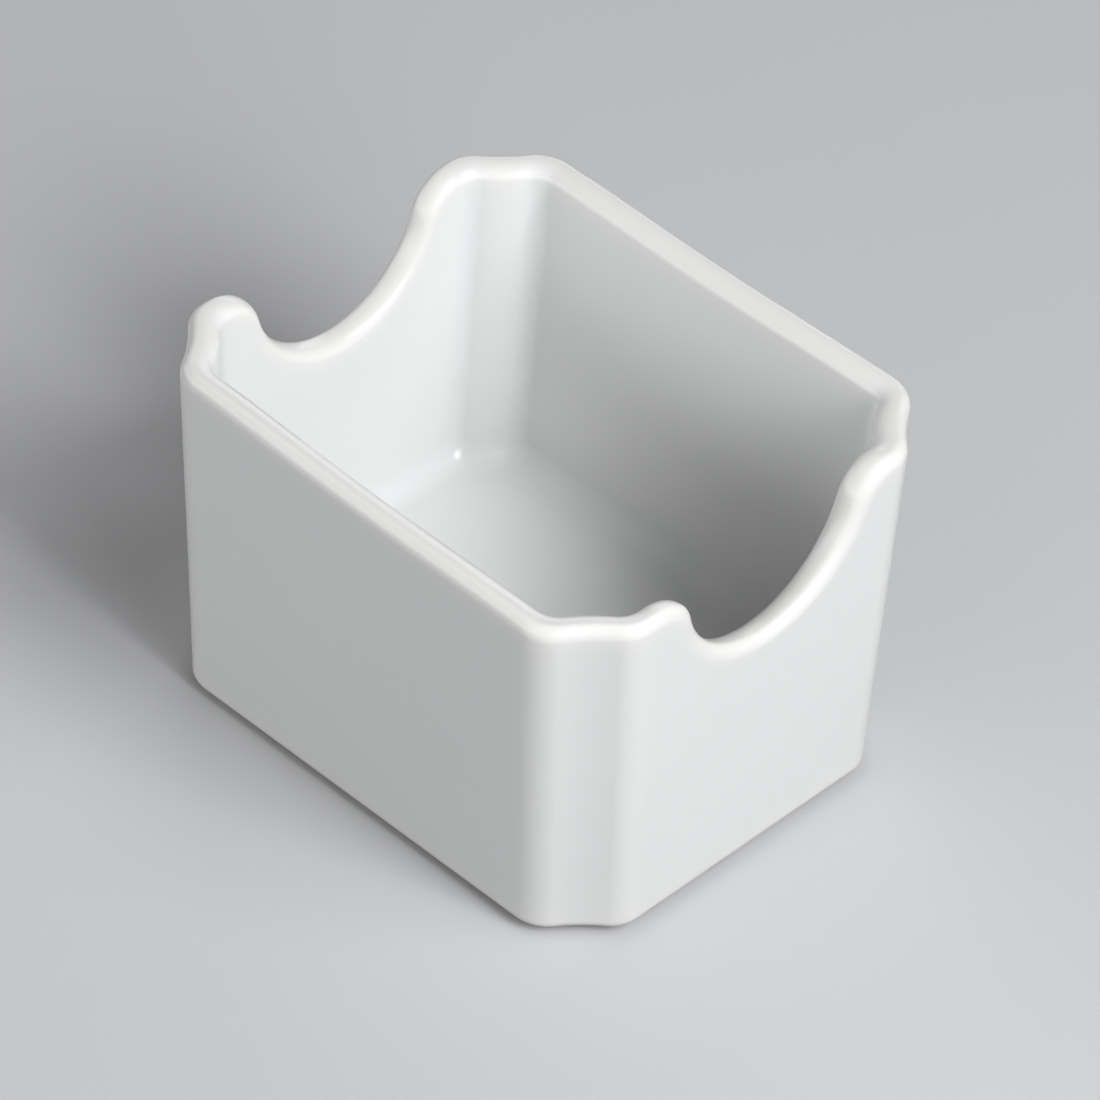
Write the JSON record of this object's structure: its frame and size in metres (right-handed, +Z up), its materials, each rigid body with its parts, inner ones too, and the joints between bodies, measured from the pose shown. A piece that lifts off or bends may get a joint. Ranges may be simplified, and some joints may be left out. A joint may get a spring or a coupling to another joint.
{
  "type": "sugar packet holder",
  "caption": "Open-topped glazed porcelain box with cut, fluted corners, a rolled rim and rounded thumb cut-outs in its end walls, for paper sugar packets.",
  "frame": {"origin": "middle of the plane that the foot ring stands on", "axes": "+Z up, +X square to an end wall with a thumb cut-out, +Y square to a long side wall"},
  "size_m": [0.1, 0.084, 0.0695],
  "materials": {
    "porcelain": "fired, unglazed and ground smooth on the foot ring",
    "glaze": "glossy white glaze"
  },
  "bodies": {
    "root": {"porcelain_body": "porcelain", "glaze": "glaze", "underside_glaze": "glaze"}
  },
  "joints": []
}
